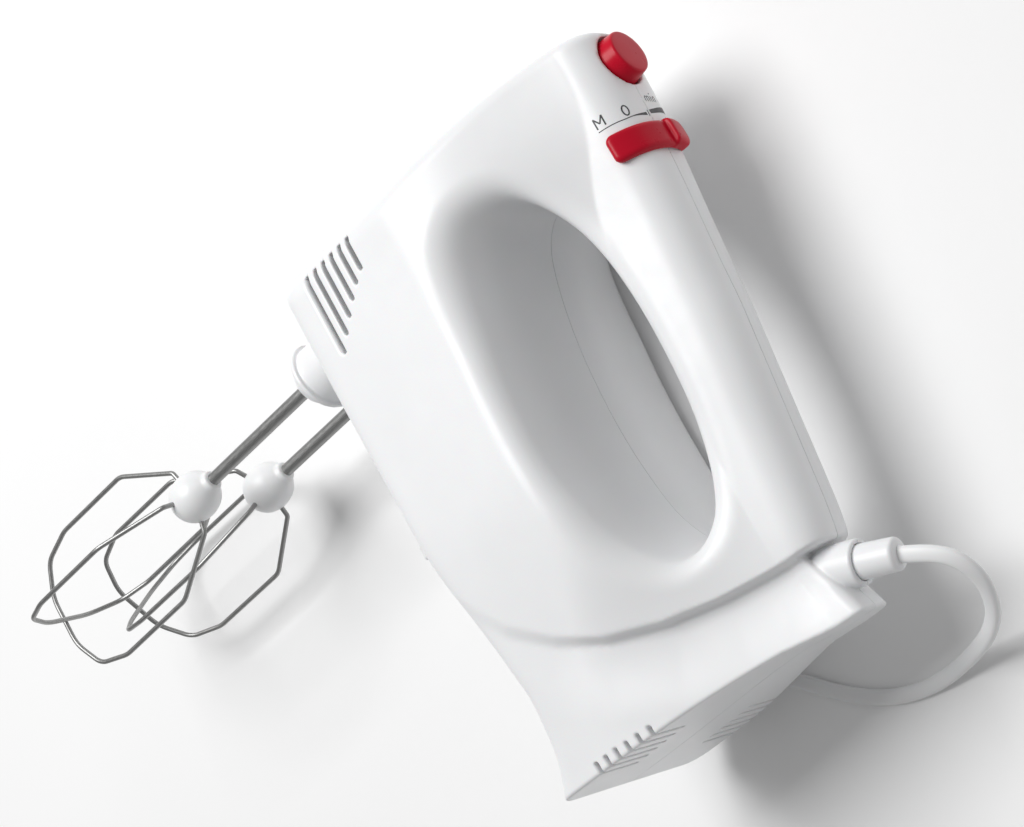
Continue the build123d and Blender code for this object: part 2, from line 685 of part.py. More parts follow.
def cord_route():
    """Sleeve to coil: up, over, down to the table and away under the heel."""
    start = sleeve_axis(SLEEVE_LENGTH)
    lie = CORD_LIE
    return [tuple(start), (-166.4, -0.6, 121.9), (-177.2, -6.6, 130.0), (-188.5, -16.5, 125.8),
            (-192.2, -28.0, 111.5), (-191.5, -37.0, 94.5), (-190.0, lie, 77.0), (-186.5, lie, 62.5),
            (-178.0, lie, 49.5), (-166.0, lie, 37.5), (-156.0, lie, 24.0), (-147.5, lie, 9.5),
            (-135.5, lie, -2.5), (-120.0, lie, -8.5), (-103.5, lie, -9.0), (-89.5, lie, -12.5),
            (-81.0, lie, -24.0)]


def tail_route():
    """Plug to coil: out of the plug's tail, round in front of the coil and into its lower layer."""
    lie = CORD_LIE
    tail_end = PLUG_NOSE_X + PLUG_SIZE[0] + PLUG_TAIL_LENGTH
    return [(tail_end, PLUG_MID_Y, PLUG_MID_Z), (-33.5, -26.3, -21.5), (-22.0, -30.0, -29.0),
            (-19.5, -34.5, -42.5), (-27.0, -38.0, -54.5), (-40.5, lie, -58.0), (-52.0, lie, -51.0)]


def cord_tube(points, name):
    """The tube along a route, with its radii and volume printed."""
    radii = largest_radii(points)
    path = FilletPolyline(*points, radius=radii)
    tube = sweep(Plane(origin=path @ 0, z_dir=path % 0) * Circle(CORD_WIDTH / 2), path=path)
    section = pi * (CORD_WIDTH / 2) ** 2
    print(name, "radii", [round(r, 1) for r in radii], "length", round(path.length, 1),
          "volume ratio", round(tube.volume / (section * path.length), 4))
    return tube


def on_table(y_range):
    """Heights above the table as a Y range of the upright drawing."""
    return (TABLE_Y + y_range[0], TABLE_Y + y_range[1])


def cord_coil():
    """The wound length as one ring."""
    x, z = COIL_CENTRE
    ring = rod_y(x, on_table((0, COIL_HEIGHT)), z, COIL_MEAN_RADIUS + COIL_WALL / 2)
    return ring - rod_y(x, on_table((-1, COIL_HEIGHT + 1)), z, COIL_MEAN_RADIUS - COIL_WALL / 2)


def cord_tie():
    """The strap over the coil's far side."""
    x = COIL_CENTRE[0] - 8
    middle = COIL_CENTRE[1] - COIL_MEAN_RADIUS + 1.5
    reach = COIL_WALL / 2 + 1.4
    strap = box((x - 3, x + 3), on_table((0.1, COIL_HEIGHT + 1.0)), (middle - reach, middle + reach))
    inside = box((x - 4, x + 4), on_table((-1, COIL_HEIGHT)), (middle - reach + 0.9, middle + reach - 0.9))
    return strap - cord_coil() - inside


def plug_body():
    """A flat two-pin plug with chamfered flanks and a tail."""
    length, width, height = PLUG_SIZE
    outline = [(0, -width / 2), (length * 0.45, -width / 2), (length, -7), (length, 7),
               (length * 0.45, width / 2), (0, width / 2)]
    places = [(PLUG_NOSE_X + along, PLUG_MID_Z + across) for along, across in outline]
    face = make_face(Plane.XZ * Polyline(*places, close=True))
    block = extrude(face, height / 2, both=True)
    block = fillet(block.edges().filter_by(Axis.Y), 3.0)
    back = PLUG_NOSE_X + length
    tail = rod_x((back - 1, back + PLUG_TAIL_LENGTH), 0, PLUG_MID_Z, 3.6)
    return Pos(0, PLUG_MID_Y, 0) * (block + tail)


def plug_pins():
    """The plug's two round pins."""
    pins = []
    for side in (-1, 1):
        z = PLUG_MID_Z + side * PIN_SPACING / 2
        pins.append(rod_x((PLUG_NOSE_X - PIN_LENGTH, PLUG_NOSE_X), PLUG_MID_Y, z, PIN_RADIUS))
    return Compound(children=pins)


def strain_relief():
    """The ball-footed sleeve that the cord leaves through."""
    base = (Align.CENTER, Align.CENTER, Align.MIN)
    sleeve = Pos(0, 0, SLEEVE_START) * Cone(*SLEEVE_RADII, SLEEVE_LENGTH - SLEEVE_START, align=base)
    return Pos(*EXIT) * Sphere(BALL_RADIUS) + sleeve_plane() * sleeve


# ---------------------------------------------------------------- assembly

def build_nodes():
    """Every piece under its own name."""
    left, right = shells()
    holders, brushes, springs = brush_parts()
    nodes = {
        "left_shell": left,
        "right_shell": right,
        "housing_screws": housing_screws(),
        "beater_collar": beater_collar(),
        "gear_frame": gear_frame(),
        "front_bearing": shaft_bearing((-2.4, 1.9), JOURNAL_RADIUS),
        "middle_bearing": shaft_bearing((-42, -37), MOTOR_SHAFT_RADIUS),
        "rear_bearing": shaft_bearing((-128, -122), MOTOR_SHAFT_RADIUS),
        "rear_bracket": rear_bracket(),
        "stator_core": stator_core(),
        "field_coil_top": field_coil(1),
        "field_coil_bottom": field_coil(-1),
        "brush_holders": holders,
        "carbon_brushes": brushes,
        "brush_springs": springs,
        "motor_shaft": motor_shaft(),
        "worm": worm(),
        "armature_core": armature_core(),
        "armature_winding": armature_winding(),
        "commutator": commutator(),
        "cooling_fan": fan(),
        "eject_button": eject_button(),
        "eject_rod": eject_rod(),
        "eject_rod_clip": rod_collar(),
        "eject_plate": eject_plate(),
        "eject_spring": eject_spring(),
        "spring_shelf": spring_shelf(),
        "speed_slider": speed_slider(),
        "switch_wiper": switch_wiper(),
        "switch_block": switch_block(),
        "capacitor": capacitor(),
        "inner_wiring": wiring(),
        "clamp_seat": clamp_seat(),
        "cord_clamp": cord_clamp(),
        "clamp_screws": clamp_screws(),
        "strain_relief": strain_relief(),
        "cord_lead": cord_tube(cord_route(), "cord_lead"),
        "cord_coil": cord_coil(),
        "cord_tail": cord_tube(tail_route(), "cord_tail"),
        "cord_tie": cord_tie(),
        "plug_body": plug_body(),
        "plug_pins": plug_pins(),
    }
    for side, name, phase in ((1, "left", LEFT_PHASE), (-1, "right", RIGHT_PHASE)):
        nodes["spindle_" + name] = spindle(side)
        nodes["spindle_bushes_" + name] = spindle_bush(side)
        nodes["worm_wheel_" + name] = worm_wheel(side)
        nodes["whisk_shaft_" + name] = whisk_shaft(side)
        nodes["whisk_hub_" + name] = whisk_hub(side)
        nodes["whisk_loop_a_" + name] = whisk_loop(side, phase, 0)
        nodes["whisk_loop_b_" + name] = whisk_loop(side, phase + 90, INNER_LOOP_LIFT)
    return nodes


# Lying down: nose to -Y, left side up, handle to -X, centred over the row's origin
MIDDLE = ((NOSE_X + HEEL_X) / 2, (TOP_Z + WHISK_TIP_Z) / 2)
LAY_DOWN = Location(Plane(origin=(MIDDLE[1], MIDDLE[0], HALF_WIDTH), x_dir=(0, -1, 0), z_dir=(-1, 0, 0)))

if __name__ == "__main__":
    for node, piece in build_nodes().items():
        export_step(LAY_DOWN * piece, "parts/" + node + ".step")
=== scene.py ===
import json
import math

import bmesh
import bpy
import numpy as np
from mathutils import Matrix, Vector


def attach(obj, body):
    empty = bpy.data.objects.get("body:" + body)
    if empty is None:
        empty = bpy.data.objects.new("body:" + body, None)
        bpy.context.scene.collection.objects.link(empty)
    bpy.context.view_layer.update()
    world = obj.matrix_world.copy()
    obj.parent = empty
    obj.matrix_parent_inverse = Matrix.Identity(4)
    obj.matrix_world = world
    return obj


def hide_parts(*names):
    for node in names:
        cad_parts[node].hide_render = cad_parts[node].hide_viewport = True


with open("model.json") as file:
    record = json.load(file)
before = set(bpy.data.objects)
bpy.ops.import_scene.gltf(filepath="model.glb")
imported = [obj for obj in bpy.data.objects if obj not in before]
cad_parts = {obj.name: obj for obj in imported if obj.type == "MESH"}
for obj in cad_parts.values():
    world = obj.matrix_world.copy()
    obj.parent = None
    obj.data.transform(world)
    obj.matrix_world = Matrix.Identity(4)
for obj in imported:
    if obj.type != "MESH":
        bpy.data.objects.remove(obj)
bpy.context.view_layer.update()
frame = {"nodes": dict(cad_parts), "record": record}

# The mixer is described upright, in millimetres, as in part.py: F forward to the nose, L to the
# user's left, U up. at() lays a point down on the right side, in the row frame, in metres.
MIDDLE_F, MIDDLE_U, HALF_WIDTH = -79.0, -24.0, 41.5
TABLE_L = -HALF_WIDTH


def at(f, l, u):
    return Vector((-(u - MIDDLE_U), -(f - MIDDLE_F), l + HALF_WIDTH)) / 1000.0


def lay_down(points):
    """Upright millimetres to row metres, for an array of points."""
    f, l, u = points[:, 0], points[:, 1], points[:, 2]
    return np.stack([-(u - MIDDLE_U), -(f - MIDDLE_F), l + HALF_WIDTH], axis=1) / 1000.0


# ------------------------------------------------------------------ camera and cord come first

def make_camera():
    camera = bpy.data.objects.new("camera", bpy.data.cameras.new("camera"))
    bpy.context.scene.collection.objects.link(camera)
    right = Vector((-0.6258, 0.4649, -0.6262))
    up = Vector((-0.5496, -0.8326, -0.0688))
    back = right.cross(up).normalized()
    turn = Matrix((right.normalized(), up.normalized(), back)).transposed()
    camera.matrix_world = Matrix.Translation((-0.43628, 0.19383, 0.58633)) @ turn.to_4x4()
    camera.data.sensor_width = 36.0
    camera.data.lens = 84.41
    camera.data.clip_start = 0.01
    bpy.context.scene.camera = camera


CORD_WIDTH, CORD_THICKNESS = 4.6, 2.9
LIE = TABLE_L + CORD_THICKNESS / 2 + 0.1
EXIT = (-154.5, 0.0, 89.5)
SLEEVE_TILT, SLEEVE_LENGTH = math.radians(20.0), 22.0
COIL_CENTRE = (-57.0, -28.0)
COIL_RADII = [25.7, 25.7, 21.2, 21.2, 23.4, 23.4, 25.7]
LAYER_HEIGHT = 3.1
COIL_STEP = 24


def sleeve_point(distance):
    return (EXIT[0] - math.sin(SLEEVE_TILT) * distance, 0.0, EXIT[2] + math.cos(SLEEVE_TILT) * distance)


def coil_points():
    """Four and a quarter turns: out and in on the table, then two more stacked on them."""
    total = 4 * 360 + 84
    shrink = math.cos(math.radians(COIL_STEP / 2))
    points = []
    for angle in range(COIL_STEP // 2, total + 1, COIL_STEP):
        share = angle / 360.0
        radius = np.interp(share, [0.0, 0.9, 1.2, 1.9, 2.2, 3.9, 4.2], COIL_RADII) / shrink
        layer = np.interp(share, [0.0, 1.9, 2.15, 2.95, 3.2, 4.3], [0.0, 0.0, 1.0, 1.0, 2.0, 2.0])
        turn = math.radians(180 + angle)
        points.append((COIL_CENTRE[0] + radius * math.cos(turn), LIE + LAYER_HEIGHT * layer,
                       COIL_CENTRE[1] + radius * math.sin(turn)))
    return points


def cord_points():
    lead = [sleeve_point(SLEEVE_LENGTH - 4.0), (-166.8, -0.8, 120.0), (-176.5, -5.5, 124.0),
            (-184.5, -14.5, 118.5), (-188.3, -25.5, 107.5), (-189.5, -35.5, 93.0), (-190.0, LIE, 77.0),
            (-186.5, LIE, 62.5), (-178.0, LIE, 49.5), (-166.0, LIE, 37.5), (-156.0, LIE, 24.0),
            (-147.5, LIE, 9.5), (-135.5, LIE, -2.5), (-120.0, LIE, -8.5), (-103.5, LIE, -9.0),
            (-90.5, LIE, -12.0), (-83.5, LIE, -19.5)]
    tail = [(-36.0, LIE + 1.5, -58.0), (-26.5, -38.0, -53.5), (-19.5, -34.5, -42.5), (-22.0, -30.0, -29.0),
            (-33.5, -26.3, -22.0), (-49.0, -25.3, -22.5)]
    return lead + coil_points() + tail


def flex_profile():
    """The flat flex's section: a rounded oval, wide along X and thin along Y."""
    curve = bpy.data.curves.new("flex_profile", "CURVE")
    spline = curve.splines.new("NURBS")
    spline.points.add(11)
    for index, point in enumerate(spline.points):
        turn = 2 * math.pi * index / 12
        x = CORD_WIDTH / 2 * math.copysign(abs(math.cos(turn)) ** 0.75, math.cos(turn))
        y = CORD_THICKNESS / 2 * math.copysign(abs(math.sin(turn)) ** 0.9, math.sin(turn))
        point.co = (x / 1000 * 1.05, y / 1000 * 1.08, 0, 1)
    spline.order_u = 4
    spline.use_cyclic_u = True
    profile = bpy.data.objects.new("flex_profile", curve)
    return profile


def make_cord():
    curve = bpy.data.curves.new("mains_cord", "CURVE")
    curve.dimensions = "3D"
    curve.resolution_u = 8
    spline = curve.splines.new("NURBS")
    points = cord_points()
    spline.points.add(len(points) - 1)
    for point, place in zip(spline.points, points):
        point.co = (*at(*place), 1.0)
    spline.order_u = 3
    spline.use_endpoint_u = True
    curve.twist_mode = "Z_UP"
    curve.bevel_mode = "OBJECT"
    curve.bevel_object = flex_profile()
    curve.use_fill_caps = True
    cord = bpy.data.objects.new("mains_cord", curve)
    bpy.context.scene.collection.objects.link(cord)
    return cord


# ------------------------------------------------------------------ materials

def new_material(name):
    material = bpy.data.materials.new(name)
    material.use_nodes = True
    tree = material.node_tree
    return material, tree, tree.nodes["Principled BSDF"]


def noise(tree, scale, detail=3.0, stretch=None):
    """A noise texture in object space, optionally stretched along an axis."""
    place = tree.nodes.new("ShaderNodeTexCoord")
    texture = tree.nodes.new("ShaderNodeTexNoise")
    texture.inputs["Scale"].default_value = scale
    texture.inputs["Detail"].default_value = detail
    mapping = tree.nodes.new("ShaderNodeMapping")
    if stretch:
        mapping.inputs["Scale"].default_value = stretch
    tree.links.new(place.outputs["Object"], mapping.inputs["Vector"])
    tree.links.new(mapping.outputs["Vector"], texture.inputs["Vector"])
    return texture


def ramp(tree, source, low, high):
    """A two-colour ramp of a texture's value."""
    node = tree.nodes.new("ShaderNodeValToRGB")
    node.color_ramp.elements[0].position = 0.35
    node.color_ramp.elements[1].position = 0.65
    node.color_ramp.elements[0].color = low
    node.color_ramp.elements[1].color = high
    tree.links.new(source.outputs["Fac"], node.inputs["Fac"])
    return node


def vary(tree, source, socket, low, high):
    """A texture's value sent to a socket between two limits."""
    node = tree.nodes.new("ShaderNodeMapRange")
    node.inputs["From Min"].default_value = 0.3
    node.inputs["From Max"].default_value = 0.7
    node.inputs["To Min"].default_value = low
    node.inputs["To Max"].default_value = high
    tree.links.new(source.outputs["Fac"], node.inputs["Value"])
    tree.links.new(node.outputs["Result"], socket)


def bump(tree, source, shader, strength, distance):
    node = tree.nodes.new("ShaderNodeBump")
    node.inputs["Strength"].default_value = strength
    node.inputs["Distance"].default_value = distance
    tree.links.new(source.outputs["Fac"], node.inputs["Height"])
    tree.links.new(node.outputs["Normal"], shader.inputs["Normal"])


def moulded(name, colour, rough, grain=0.05, coat=0.0, tint=0.03, scatter=0.0, shine=0.5):
    """Moulded plastic: a little colour drift, uneven gloss and a fine surface."""
    material, tree, shader = new_material(name)
    drift = noise(tree, 28.0)
    low = tuple(max(0.0, c * (1 - tint)) for c in colour) + (1.0,)
    high = tuple(min(1.0, c * (1 + tint)) for c in colour) + (1.0,)
    tree.links.new(ramp(tree, drift, low, high).outputs["Color"], shader.inputs["Base Color"])
    vary(tree, noise(tree, 160.0), shader.inputs["Roughness"], rough * 0.88, rough * 1.12)
    bump(tree, noise(tree, 1900.0, 2.0), shader, grain, 0.0001)
    shader.inputs["IOR"].default_value = 1.5
    shader.inputs["Specular IOR Level"].default_value = shine
    shader.inputs["Coat Weight"].default_value = coat
    shader.inputs["Coat Roughness"].default_value = 0.08
    if scatter:
        shader.inputs["Subsurface Weight"].default_value = scatter
        shader.inputs["Subsurface Scale"].default_value = 0.001
    return material


def drawn_metal(name, colour, rough, stretch=(40, 40, 400), grain=0.12, metallic=1.0):
    """Drawn or turned metal: streaks along the part and a slightly uneven shine."""
    material, tree, shader = new_material(name)
    streaks = noise(tree, 30.0, 4.0, stretch)
    low = tuple(c * 0.8 for c in colour) + (1.0,)
    high = tuple(min(1.0, c * 1.15) for c in colour) + (1.0,)
    tree.links.new(ramp(tree, streaks, low, high).outputs["Color"], shader.inputs["Base Color"])
    vary(tree, streaks, shader.inputs["Roughness"], rough * 0.75, rough * 1.25)
    bump(tree, streaks, shader, grain, 0.00005)
    shader.inputs["Metallic"].default_value = metallic
    return material


def make_materials():
    return {
        "housing_white": moulded("housing_white", (0.84, 0.845, 0.855), 0.34, 0.04, tint=0.012, scatter=0.06),
        "control_red": moulded("control_red", (0.50, 0.003, 0.020), 0.30, 0.03, coat=0.0, tint=0.08, shine=0.2),
        "hub_white": moulded("hub_white", (0.82, 0.825, 0.83), 0.38, 0.05, scatter=0.05, tint=0.015),
        "cord_white": moulded("cord_white", (0.80, 0.805, 0.81), 0.45, 0.12, tint=0.02, scatter=0.05),
        "print_dark": moulded("print_dark", (0.05, 0.05, 0.055), 0.5, 0.05, tint=0.2),
        "whisk_steel": drawn_metal("whisk_steel", (0.36, 0.36, 0.355), 0.42, (15, 300, 300), 0.1),
        "pin_steel": drawn_metal("pin_steel", (0.75, 0.74, 0.70), 0.22, (200, 20, 200)),
        "motor_steel": drawn_metal("motor_steel", (0.32, 0.33, 0.35), 0.45, (20, 900, 20), 0.5),
        "copper": drawn_metal("copper", (0.72, 0.30, 0.14), 0.35, (500, 30, 500), 0.5),
        "brass": drawn_metal("brass", (0.75, 0.56, 0.26), 0.32, (60, 200, 60)),
        "carbon": moulded("carbon", (0.03, 0.03, 0.032), 0.6, 0.3, tint=0.3),
        "cast_alloy": drawn_metal("cast_alloy", (0.62, 0.63, 0.64), 0.5, (60, 60, 60), 0.5),
        "shaft_steel": drawn_metal("shaft_steel", (0.55, 0.56, 0.58), 0.25, (200, 30, 200)),
        "bearing_bronze": drawn_metal("bearing_bronze", (0.55, 0.38, 0.20), 0.45, (300, 300, 300), 0.3),
        "gear_nylon": moulded("gear_nylon", (0.80, 0.77, 0.66), 0.5, 0.1, scatter=0.1),
        "black_nylon": moulded("black_nylon", (0.025, 0.025, 0.027), 0.5, 0.2, tint=0.2),
        "grey_plastic": moulded("grey_plastic", (0.40, 0.41, 0.42), 0.5, 0.2),
    }


# ------------------------------------------------------------------ surfaces from a distance field

CORNERS = [(a, b, c) for a in (0, 1) for b in (0, 1) for c in (0, 1)]
EDGES = [(p, q) for p in CORNERS for q in CORNERS if p < q and sum(abs(i - j) for i, j in zip(p, q)) == 1]


def net_points(values, axes, cells):
    """One point per cell that the surface crosses: the mean of its edge crossings."""
    total = np.zeros((len(cells), 3))
    count = np.zeros(len(cells))
    for p, q in EDGES:
        a = cells + np.array(p)
        b = cells + np.array(q)
        va = values[a[:, 0], a[:, 1], a[:, 2]]
        vb = values[b[:, 0], b[:, 1], b[:, 2]]
        crosses = (va < 0) != (vb < 0)
        share = np.where(crosses, va / np.where(crosses, va - vb, 1.0), 0.0)
        pa = np.stack([axes[i][a[:, i]] for i in range(3)], axis=1)
        pb = np.stack([axes[i][b[:, i]] for i in range(3)], axis=1)
        total += np.where(crosses[:, None], pa + (pb - pa) * share[:, None], 0.0)
        count += crosses
    return total / count[:, None]


def net_faces(inside, index):
    """One quad round each grid edge that the surface crosses."""
    quads = []
    for axis in range(3):
        other = [i for i in range(3) if i != axis]
        low = np.take(inside, range(inside.shape[axis] - 1), axis)
        high = np.take(inside, range(1, inside.shape[axis]), axis)
        places = np.argwhere(low != high)
        keep = np.all([(places[:, i] > 0) & (places[:, i] < inside.shape[i] - 1) for i in other], axis=0)
        places = places[keep]
        ring = []
        for back_a, back_b in ((1, 1), (0, 1), (0, 0), (1, 0)):
            cell = places.copy()
            cell[:, other[0]] -= back_a
            cell[:, other[1]] -= back_b
            ring.append(index[cell[:, 0], cell[:, 1], cell[:, 2]])
        quad = np.stack(ring, axis=1)
        leaving = inside[places[:, 0], places[:, 1], places[:, 2]]
        if axis == 1:
            leaving = ~leaving
        quads.append(np.where(leaving[:, None], quad, quad[:, ::-1]))
    return np.concatenate(quads)


def gradient(field, points, step=0.05):
    slopes = []
    for axis in range(3):
        shift = np.zeros(3)
        shift[axis] = step
        ahead = field(*(points + shift).T)
        behind = field(*(points - shift).T)
        slopes.append((ahead - behind) / (2 * step))
    return np.stack(slopes, axis=1)


def field_net(field, axes, rounds=2):
    """Points and quads of the surface where the field is zero."""
    grid = np.meshgrid(*axes, indexing="ij", sparse=True)
    values = field(*grid)
    values = np.broadcast_to(values, tuple(len(a) for a in axes)).astype(np.float64)
    inside = values < 0
    mixed = np.zeros(tuple(n - 1 for n in inside.shape), bool)
    first = inside[:-1, :-1, :-1]
    n0, n1, n2 = inside.shape
    for a, b, c in CORNERS:
        mixed |= inside[a:n0 - 1 + a, b:n1 - 1 + b, c:n2 - 1 + c] != first
    cells = np.argwhere(mixed)
    index = np.full(mixed.shape, -1)
    index[cells[:, 0], cells[:, 1], cells[:, 2]] = np.arange(len(cells))
    points = net_points(values, axes, cells)
    quads = net_faces(inside, index)
    for _ in range(rounds):
        slope = gradient(field, points)
        size = np.maximum((slope ** 2).sum(axis=1), 0.04)
        move = -(field(*points.T) / size)[:, None] * slope
        length = np.linalg.norm(move, axis=1)
        points += move * np.minimum(1.0, 0.35 / np.maximum(length, 1e-9))[:, None]
    return points, quads


def mesh_object(name, points, faces, body, replaced=(), material=None, smooth=True):
    """A mesh piece in the row frame from upright points, riding on its body."""
    mesh = bpy.data.meshes.new(name)
    mesh.from_pydata(lay_down(np.asarray(points, float)).tolist(), [], [list(map(int, f)) for f in faces])
    mesh.validate()
    if smooth:
        mesh.shade_smooth()
    piece = bpy.data.objects.new(name, mesh)
    bpy.context.scene.collection.objects.link(piece)
    if material:
        mesh.materials.append(material)
    finish_piece(piece, body, replaced)
    return piece


def finish_piece(piece, body, replaced=()):
    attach(piece, body)
    if replaced:
        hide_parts(*replaced)


# ------------------------------------------------------------------ field tools

def smax(a, b, k):
    """The larger of two fields, rounded over k where they meet."""
    return np.maximum(a, b) + np.maximum(k - np.abs(a - b), 0.0) ** 2 / (4 * k)


def smin(a, b, k):
    return -smax(-a, -b, k)


def step(low, high, value):
    t = np.clip((value - low) / (high - low), 0.0, 1.0)
    return t * t * (3 - 2 * t)


def box_field(f, l, u, low, high, radius):
    """Distance to a box with rounded edges."""
    parts = []
    for value, a, b in zip((f, l, u), low, high):
        parts.append(np.abs(value - (a + b) / 2) - (b - a) / 2 + radius)
    outside = np.sqrt(sum(np.maximum(p, 0.0) ** 2 for p in parts))
    inner = np.minimum(np.maximum(np.maximum(parts[0], parts[1]), parts[2]), 0.0)
    return outside + inner - radius


def smooth_table(xs, ys, spread, pad=60.0):
    """A dense table through (x, y) pairs with its kinks rounded."""
    x = np.arange(min(xs) - pad, max(xs) + pad, 0.5)
    order = np.argsort(xs)
    y = np.interp(x, np.array(xs)[order], np.array(ys)[order])
    if spread:
        reach = np.arange(-int(4 * spread), int(4 * spread) + 1)
        weights = np.exp(-(reach * 0.5) ** 2 / (2 * spread ** 2))
        weights /= weights.sum()
        y = np.convolve(np.pad(y, len(reach) // 2, mode="edge"), weights, mode="valid")
    return x, y


def look_up(table, value):
    return np.interp(value, table[0], table[1])


def closed_curve(points, per_span=10):
    """A closed Catmull-Rom curve through the points."""
    p = np.array(points, float)
    a, b, c, d = np.roll(p, 1, 0), p, np.roll(p, -1, 0), np.roll(p, -2, 0)
    spans = []
    for t in np.arange(per_span) / per_span:
        spans.append(0.5 * (2 * b + (c - a) * t + (2 * a - 5 * b + 4 * c - d) * t ** 2
                            + (3 * b - a - 3 * c + d) * t ** 3))
    return np.stack(spans, axis=1).reshape(-1, 2)


def outline_distance(points, f, u, closed=True):
    """Unsigned distance in the side plane to a polyline."""
    starts = points if closed else points[:-1]
    ends = np.roll(points, -1, 0) if closed else points[1:]
    best = np.full(np.broadcast(f, u).shape, 1e9)
    for (af, au), (bf, bu) in zip(starts, ends):
        df, du = bf - af, bu - au
        t = np.clip(((f - af) * df + (u - au) * du) / (df * df + du * du), 0.0, 1.0)
        best = np.minimum(best, (f - af - t * df) ** 2 + (u - au - t * du) ** 2)
    return np.sqrt(best)


def outline_inside(points, f, u):
    inside = np.zeros(np.broadcast(f, u).shape, bool)
    for (af, au), (bf, bu) in zip(points, np.roll(points, -1, 0)):
        if au == bu:
            continue
        crosses = (au > u) != (bu > u)
        inside ^= crosses & (f < (bf - af) * (u - au) / (bu - au) + af)
    return inside


class SideMap:
    """A value that depends on F and U only, kept on a half-millimetre grid."""

    STEP = 0.5
    F0, F1, U0, U1 = -180.0, 25.0, -12.0, 132.0

    def __init__(self, function):
        self.f = np.arange(self.F0, self.F1, self.STEP)
        self.u = np.arange(self.U0, self.U1, self.STEP)
        self.values = function(self.f[:, None], self.u[None, :])

    def __call__(self, f, u):
        f, u = np.broadcast_arrays(f, u)
        x = np.clip((f - self.F0) / self.STEP, 0, len(self.f) - 2.001)
        y = np.clip((u - self.U0) / self.STEP, 0, len(self.u) - 2.001)
        i, j = x.astype(int), y.astype(int)
        s, t = x - i, y - j
        v = self.values
        low = v[i, j] * (1 - s) + v[i + 1, j] * s
        high = v[i, j + 1] * (1 - s) + v[i + 1, j + 1] * s
        return low * (1 - t) + high * t


# ------------------------------------------------------------------ the housing's shape

NOSE_F, NOSE_RADIUS = 12.0, 63.5
WALL = 3.6
ROW_F = [14, -14, -40, -95, -125, -150, -170]
UNDER = smooth_table([14, -14, -40, -95, -125, -142, -156, -163, -170, -180],
                     [0, 0, 0, 1, 4, 5, 2.5, 0.2, -3.5, -8], 2.5)
HEEL = smooth_table([-10, 2, 16, 31, 46, 60, 71, 80, 86, 97, 110],
                    [-170, -170, -169.8, -169.3, -168.6, -168.2, -168.2, -169.2, -169.9, -170, -170], 2)
HALF = smooth_table(ROW_F, [41.5, 41.5, 41.5, 41.5, 38.0, 34.0, 32.5], 9)
SIDE_TOP = smooth_table(ROW_F, [44, 46, 46, 46, 38, 22, 16], 8)
CROWN_HALF = smooth_table(ROW_F, [15.5, 15.5, 16, 15.5, 14.5, 13, 8.5], 6)
CROWN_SIDE = smooth_table(ROW_F, [107, 107, 92, 88, 85, 84, 88], 8)
CROWN = smooth_table([14, 4.5, -11.7, -22, -33, -44, -56, -69, -80, -139, -148.5, -156, -162, -170],
                     [116.6, 116.0, 115.2, 114.6, 113.9, 112.8, 111.3, 109.7, 108.7, 99.4, 97.4, 93.5, 93.7, 96.6], 2.5)
NOSE_LEAN = smooth_table([-10, 60, 90, 110, 118, 130], [0, 0, 1.8, 3.8, 6.0, 14.0], 4)
HOLE = closed_curve([(-25, 74), (-33, 63.5), (-57, 56.5), (-86, 54), (-112, 56), (-126, 61),
                     (-131, 67), (-124, 76), (-105, 83), (-80, 86), (-55, 86), (-36, 82)])
CREASE = np.array([(-84, -14), (-96, -2), (-107.5, 5.8), (-121.8, 14.7), (-132.2, 26.1), (-140.2, 38.7),
                   (-145.2, 52.6), (-147.6, 67.3), (-148.4, 80), (-148.6, 88), (-148.4, 96)], float)
SEAT_U, SEAT_RADIUS = 97.4, 16.8
BUTTON_F, BUTTON_RADIUS = -3.5, 8.0
BLISTER_RADIUS, BLISTER_START, BLISTER_TOP = 6.4, 1.4, 10.6
SCREW_SPOTS = [(6.5, 58), (-17, 82), (-152, 17), (-142, 64)]
SCREW_HEAD_L = -7.3
FRONT_SLOTS = [(32.2, -14.7), (28.4, -17.0), (24.5, -19.8), (20.6, -23.0), (16.7, -26.4), (12.8, -30.2)]
REAR_SLOTS = [15.0, 18.9, 22.8, 26.7, 30.6, 34.5]


def hole_distance(f, u):
    far = outline_distance(HOLE, f, u)
    return np.where(outline_inside(HOLE, f, u), -far, far)


def behind_crease(f, u):
    """Signed distance behind the crease, positive towards the heel."""
    far = outline_distance(CREASE, f, u, closed=False)
    line_f = np.interp(u, CREASE[:, 1], CREASE[:, 0])
    return np.where(f < line_f, far, -far)


HOLE_MAP = SideMap(hole_distance)
CREASE_MAP = SideMap(behind_crease)


def lower_side(u):
    """1 on the motor side of the finger hole, 0 on the handle side."""
    return 1.0 - step(64.0, 76.0, u)


def hole_flare(f, l, u):
    """How far the finger hole opens out from the seam towards the flanks."""
    ends = step(-62.0, -22.0, f) + step(-104.0, -136.0, f)
    return (1.5 + 2.5 * lower_side(u) + 3.6 * ends) * (np.abs(l) / 38.0) ** 1.5


def side_width(f, u):
    """Half width at a height, from the flat side up into the shoulder."""
    half, top = look_up(HALF, f), look_up(SIDE_TOP, f)
    crown_half, crown_side = look_up(CROWN_HALF, f), look_up(CROWN_SIDE, f)
    t = (u - top) / np.maximum(crown_side - top, 10.0)
    lean = np.clip(t, 0.0, 1.0)
    curve = lean ** 2 * (3 - 2 * lean) * 0.55 + lean ** 2 * 0.45
    beyond = np.maximum(t - 1.0, 0.0) * 0.9
    return half - (half - crown_half) * (curve + beyond * 0.45)


def crease_depth(f, u):
    behind = CREASE_MAP(f, u)
    crisp = step(10.0, 60.0, u)
    rise = step(-0.5, 5.0 - 3.4 * crisp, behind)
    fall = 1.0 - step(2.5, 24.0, behind)
    return (1.2 + 2.6 * crisp) * rise * fall * step(-6.0, 16.0, u)


